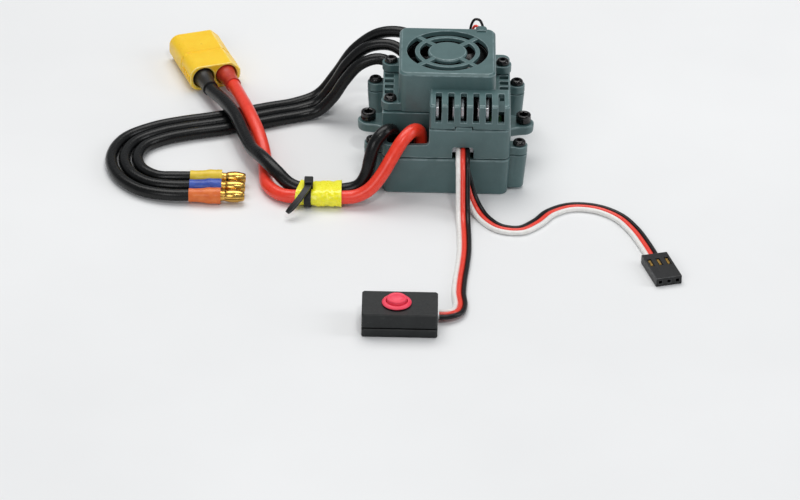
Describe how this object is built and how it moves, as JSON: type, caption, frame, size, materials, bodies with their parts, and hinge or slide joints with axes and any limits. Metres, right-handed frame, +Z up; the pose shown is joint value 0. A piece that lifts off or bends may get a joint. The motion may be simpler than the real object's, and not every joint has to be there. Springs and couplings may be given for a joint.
{
  "type": "electronic speed controller",
  "caption": "Fan-cooled motor speed controller for a model car: stacked plastic case with side ears, finned heatsink, power and motor leads, receiver lead and push switch.",
  "frame": {"origin": "middle of the case's flat bottom, cords and what is on them left out", "axes": "+X to the right ear seen from the outlet side, +Y towards the motor leads' side, +Z up through the fan"},
  "size_m": [0.1684, 0.1637, 0.0367],
  "materials": {
    "housing": "satin moulded teal-grey plastic",
    "heatsink_metal": "bare extruded fins",
    "pad": "soft grey gap filler",
    "board": "green solder mask",
    "chip": "moulded black",
    "can": "bright can",
    "black_screw": "black oxide, oiled",
    "shaft_steel": "ground",
    "brass": "gold-plated",
    "copper": "enamelled copper winding",
    "black_wire": "silicone, soft sheen",
    "red_wire": "silicone, soft sheen",
    "plug_yellow": "nylon, satin",
    "tag_yellow": "printed-film wrap, left plain",
    "tie": "nylon",
    "shrink_red": "shrunk sleeve",
    "shrink_black": "shrunk sleeve",
    "shrink_yellow": "shrunk sleeve",
    "shrink_blue": "shrunk sleeve",
    "shrink_orange": "shrunk sleeve",
    "ribbon": "three-core vinyl ribbon: white, red, black",
    "plug_black": "moulded black",
    "switch_plastic": "fine-grained black",
    "button_rubber": "soft rubber"
  },
  "bodies": {
    "case": {"battery_terminal_black": "brass", "battery_terminal_red": "brass", "battery_wire_black": "black_wire", "battery_wire_red": "red_wire", "bottom_case": "housing", "cable_tie": "tie", "capacitor_front": "can", "capacitor_rear_left": "can", "capacitor_rear_right": "can", "case_screw_front_left": "black_screw", "case_screw_front_right": "black_screw", "case_screw_rear_left": "black_screw", "case_screw_rear_right": "black_screw", "control_board": "board", "cover_screw_front_left": "black_screw", "cover_screw_rear_left": "black_screw", "cover_screw_rear_right": "black_screw", "fan_bearing": "brass", "fan_coil": "copper", "fan_cover": "housing", "fan_frame": "chip", "fan_lead_black": "black_wire", "fan_lead_red": "red_wire", "heatsink": "heatsink_metal", "middle_case": "housing", "motor_bullet_left": "brass", "motor_bullet_middle": "brass", "motor_bullet_right": "brass", "motor_sleeve_left": "shrink_yellow", "motor_sleeve_middle": "shrink_blue", "motor_sleeve_right": "shrink_orange", "motor_terminal_left": "brass", "motor_terminal_middle": "brass", "motor_terminal_right": "brass", "motor_wire_left": "black_wire", "motor_wire_middle": "black_wire", "motor_wire_right": "black_wire", "mounting_screw_left": "black_screw", "mounting_screw_right": "black_screw", "plug_contact_black": "brass", "plug_contact_red": "brass", "plug_sleeve_black": "shrink_black", "plug_sleeve_red": "shrink_red", "power_board": "board", "power_plug": "plug_yellow", "power_transistors": "chip", "receiver_lead": "ribbon", "receiver_plug": "plug_black", "switch_base": "switch_plastic", "switch_bezel": "button_rubber", "switch_contact": "switch_plastic", "switch_cover": "switch_plastic", "switch_lead": "ribbon", "thermal_pad": "pad", "wire_tag": "tag_yellow"},
    "fan": {"fan_rotor": "chip", "fan_shaft": "shaft_steel"},
    "button": {"switch_button": "button_rubber"}
  },
  "joints": [
    {"name": "fan_spin", "type": "hinge", "parent": "case", "child": "fan", "pos_m": [0, 0.00095, 0.03], "axis": [0, 0, 1], "continuous": true},
    {"name": "button_press", "type": "slide", "parent": "case", "child": "button", "axis": [0, 0, -1], "range_m": [0, 0.0008], "stiffness_N_per_m": 400, "springref_m": -0.001}
  ]
}
